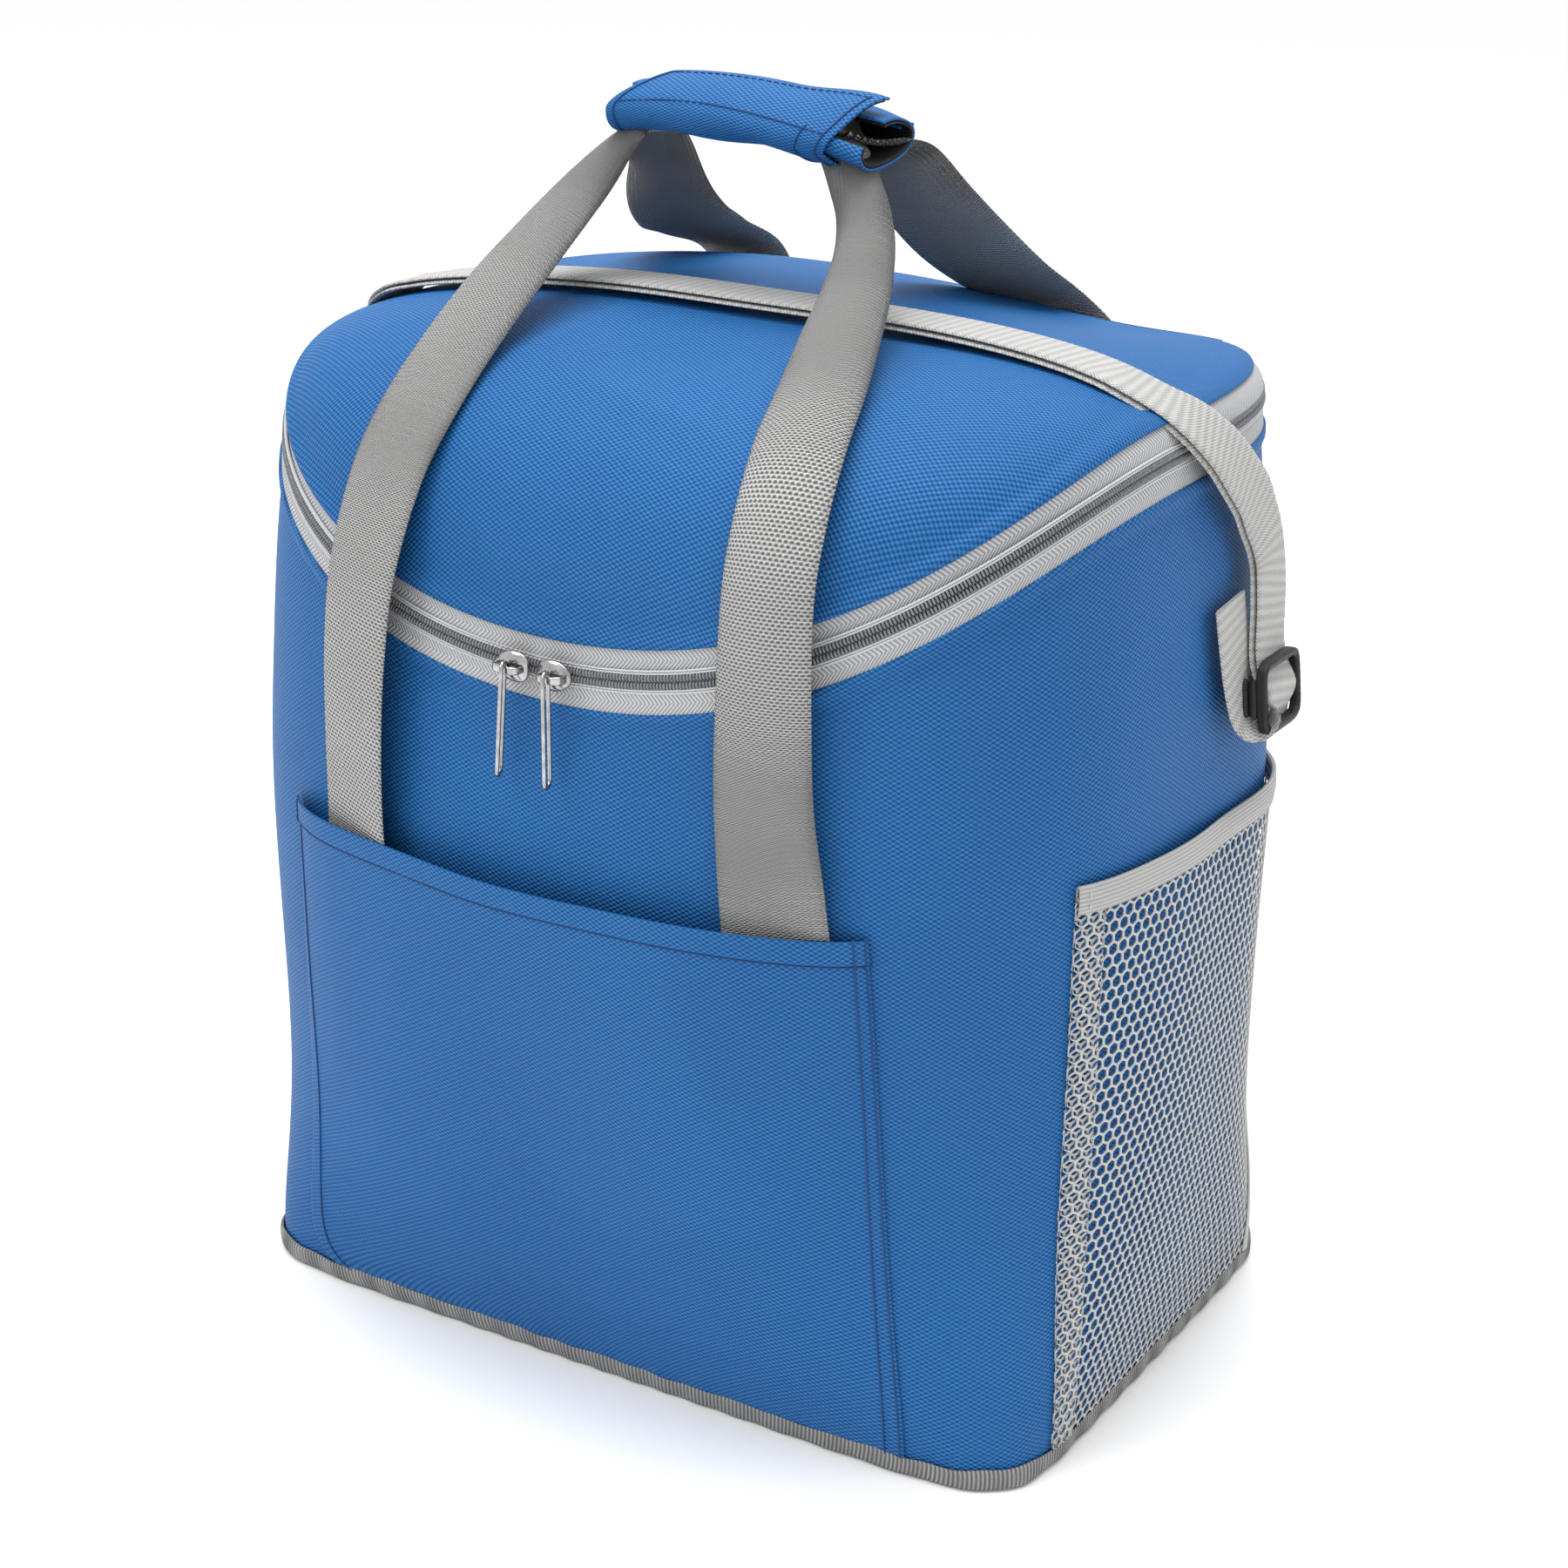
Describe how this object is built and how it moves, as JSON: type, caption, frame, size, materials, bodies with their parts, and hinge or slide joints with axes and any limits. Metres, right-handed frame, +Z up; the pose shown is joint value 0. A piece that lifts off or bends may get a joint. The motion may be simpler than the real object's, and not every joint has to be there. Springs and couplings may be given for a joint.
{
  "type": "insulated cooler bag",
  "caption": "Soft insulated bag with a domed zip lid, wrap-grip carry handles, shoulder strap, front pocket and mesh side pockets.",
  "frame": {"origin": "centre of the base, on the surface that the bag stands on", "axes": "+Z up, front with the zip's dip and the pocket towards -Y, strap adjuster on +X"},
  "size_m": [0.4058, 0.2852, 0.4566],
  "materials": {
    "fabric": "blue coated oxford-weave polyester, low sheen",
    "webbing": "light grey woven polypropylene webbing",
    "zip_tape": "light grey herringbone tape",
    "zip_coil": "grey nylon coil",
    "binding": "dark grey ribbed binding tape",
    "elastic": "grey ribbed elastic tape",
    "mesh": "light grey open knitted net",
    "foam": "white closed-cell polyethylene foam",
    "liner": "silver heat-sealed liner film",
    "board": "black stiffening board",
    "hook_and_loop": "black hook and loop tape",
    "nickel": "nickel-plated zinc and steel wire",
    "buckle_plastic": "black moulded acetal"
  },
  "bodies": {
    "bag": {"outer_shell": "fabric", "base_panel": "fabric", "base_board": "board", "bottom_binding": "binding", "body_foam": "foam", "body_liner": "liner", "zip_tape_lower": "zip_tape", "zip_coil_lower": "zip_coil", "front_pocket": "fabric", "mesh_pocket_right": "mesh", "mesh_pocket_left": "mesh", "mesh_binding_right": "elastic", "mesh_binding_left": "elastic", "front_handle_ends": "webbing", "rear_handle_ends": "webbing", "strap_tab_right": "webbing", "strap_tab_left": "webbing"},
    "lid": {"lid_panel": "fabric", "lid_foam": "foam", "lid_liner": "liner", "lid_hinge_gusset": "fabric", "zip_tape_upper": "zip_tape", "zip_coil_upper": "zip_coil", "shoulder_strap": "webbing", "shoulder_strap_tail": "webbing", "strap_leg_right": "webbing", "strap_leg_left": "webbing"},
    "front_handle": {"front_handle": "webbing", "grip_wrap": "fabric", "grip_hook_strip": "hook_and_loop"},
    "grip_flap": {"grip_flap": "fabric", "grip_loop_strip": "hook_and_loop"},
    "rear_handle": {"rear_handle": "webbing"},
    "slider_left": {"slider_left": "nickel"},
    "slider_right": {"slider_right": "nickel"},
    "puller_left": {"puller_left": "nickel"},
    "puller_right": {"puller_right": "nickel"},
    "adjuster": {"tri_glide": "buckle_plastic"}
  },
  "joints": [
    {"name": "lid_hinge", "type": "hinge", "parent": "bag", "child": "lid", "pos_m": [0, 0.1218, 0.361], "axis": [-1, 0, 0], "range_deg": [0, 105], "deforming": ["lid_hinge_gusset", "strap_leg_right", "strap_leg_left"]},
    {"name": "front_handle_swing", "type": "hinge", "parent": "bag", "child": "front_handle", "pos_m": [0, -0.1495, 0.232], "axis": [1, 0, 0], "range_deg": [0, 150]},
    {"name": "rear_handle_swing", "type": "hinge", "parent": "bag", "child": "rear_handle", "pos_m": [0, 0.127, 0.3], "axis": [-1, 0, 0], "range_deg": [0, 165]},
    {"name": "grip_flap_open", "type": "hinge", "parent": "front_handle", "child": "grip_flap", "pos_m": [0, 0.0137, 0.4484], "axis": [1, 0, 0], "range_deg": [0, 160]},
    {"name": "slider_left_run", "type": "hinge", "parent": "bag", "child": "slider_left", "pos_m": [0, -0.07056, 0.48849], "axis": [0, 0.9455, -0.3256], "range_deg": [0, 20]},
    {"name": "slider_right_run", "type": "hinge", "parent": "bag", "child": "slider_right", "pos_m": [0, -0.07056, 0.48849], "axis": [0, -0.9455, 0.3256], "range_deg": [0, 23.5]},
    {"name": "puller_left_lift", "type": "hinge", "parent": "slider_left", "child": "puller_left", "pos_m": [-0.01555, -0.15232, 0.28151], "axis": [-0.9976, 0.0227, 0.066], "range_deg": [0, 150]},
    {"name": "puller_right_lift", "type": "hinge", "parent": "slider_right", "child": "puller_right", "pos_m": [0.00194, -0.1525, 0.28101], "axis": [-1, -0.0028, -0.0083], "range_deg": [0, 150]},
    {"name": "adjuster_slide", "type": "slide", "parent": "bag", "child": "adjuster", "axis": [-0.1382, 0.079, 0.9872], "range_m": [0, 0.035]}
  ],
  "couplings": [
    {"joint": "front_handle_swing", "follows": "lid_hinge", "ratio": 1.4286},
    {"joint": "rear_handle_swing", "follows": "lid_hinge", "ratio": 1.5714},
    {"joint": "grip_flap_open", "follows": "lid_hinge", "ratio": 1.5238},
    {"joint": "slider_left_run", "follows": "lid_hinge", "ratio": 0.19048},
    {"joint": "slider_right_run", "follows": "lid_hinge", "ratio": 0.22381}
  ]
}
